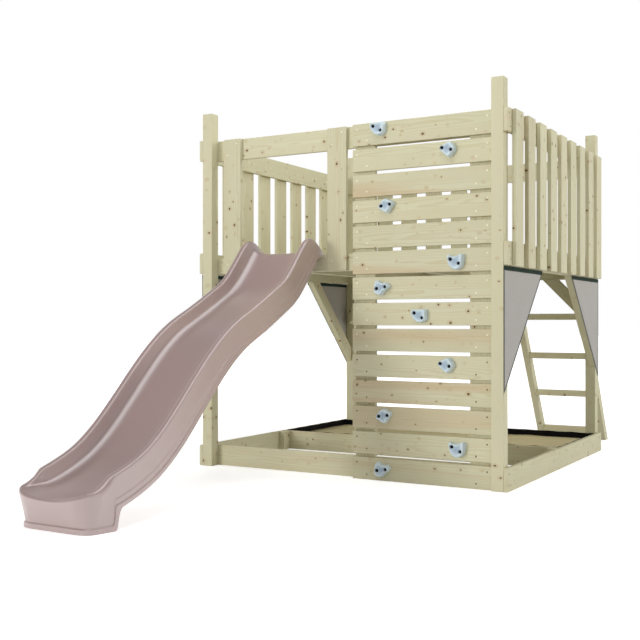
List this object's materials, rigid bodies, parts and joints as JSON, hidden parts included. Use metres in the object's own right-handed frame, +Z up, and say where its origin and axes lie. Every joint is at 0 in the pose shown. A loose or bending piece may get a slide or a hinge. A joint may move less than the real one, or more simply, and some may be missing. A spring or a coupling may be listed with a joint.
{
  "type": "play platform",
  "caption": "Wooden play tower: a raised railed deck on square posts with a wave slide, a climbing wall with holds, a leaning ladder and a sandpit beneath.",
  "frame": {"origin": "on the ground at the centre of the whole toy's footprint, from the slide's toe to the ladder's foot", "axes": "+Z up; +Y from the slide's toe through the tower to the ladder; +X to the right as the slide's toe is faced from the front"},
  "size_m": [2.0646, 4.617, 2.2048],
  "materials": {
    "treated_pine": "planed pressure-treated pine, pale green-yellow with brown knots",
    "slide_plastic": "moulded, satin, dusty mauve-brown",
    "hold_plastic": "cast with a fine grain, pale blue-grey",
    "grey_sheet": "woven sheet, matte, with dark hems",
    "black_liner": "black membrane, matte",
    "sand": "loose dry play sand"
  },
  "bodies": {
    "root": {"balustrade_left": "treated_pine", "balustrade_right": "treated_pine", "base_board_front": "treated_pine", "base_board_left": "treated_pine", "base_board_rear": "treated_pine", "base_board_right": "treated_pine", "climbing_wall": "treated_pine", "corner_panel_front_left": "grey_sheet", "corner_panel_front_right": "grey_sheet", "corner_panel_rear_left": "grey_sheet", "corner_panel_rear_right": "grey_sheet", "deck": "treated_pine", "divider_cleat_left": "treated_pine", "divider_cleat_right": "treated_pine", "edge_joist_left": "treated_pine", "edge_joist_right": "treated_pine", "hold_01": "hold_plastic", "hold_02": "hold_plastic", "hold_03": "hold_plastic", "hold_04": "hold_plastic", "hold_05": "hold_plastic", "hold_06": "hold_plastic", "hold_07": "hold_plastic", "hold_08": "hold_plastic", "hold_09": "hold_plastic", "hold_10": "hold_plastic", "ladder_rung_1": "treated_pine", "ladder_rung_2": "treated_pine", "ladder_rung_3": "treated_pine", "ladder_rung_4": "treated_pine", "ladder_stringer_left": "treated_pine", "ladder_stringer_right": "treated_pine", "post_front_left": "treated_pine", "post_front_right": "treated_pine", "post_rear_left": "treated_pine", "post_rear_right": "treated_pine", "rear_brace_left": "treated_pine", "rear_brace_right": "treated_pine", "rear_slat_1": "treated_pine", "rear_slat_2": "treated_pine", "rear_slat_3": "treated_pine", "rear_slat_4": "treated_pine", "rear_slat_5": "treated_pine", "rear_slat_6": "treated_pine", "rim_beam_front": "treated_pine", "rim_beam_rear": "treated_pine", "rim_rail_left": "treated_pine", "rim_rail_right": "treated_pine", "sand_fill": "sand", "sandpit_divider": "treated_pine", "sandpit_liner": "black_liner", "side_brace_front_left": "treated_pine", "side_brace_front_right": "treated_pine", "side_brace_rear_left": "treated_pine", "side_brace_rear_right": "treated_pine", "slide": "slide_plastic", "slide_jamb_left": "treated_pine", "slide_jamb_right": "treated_pine", "top_rail_front": "treated_pine", "top_rail_rear": "treated_pine"}
  },
  "joints": []
}
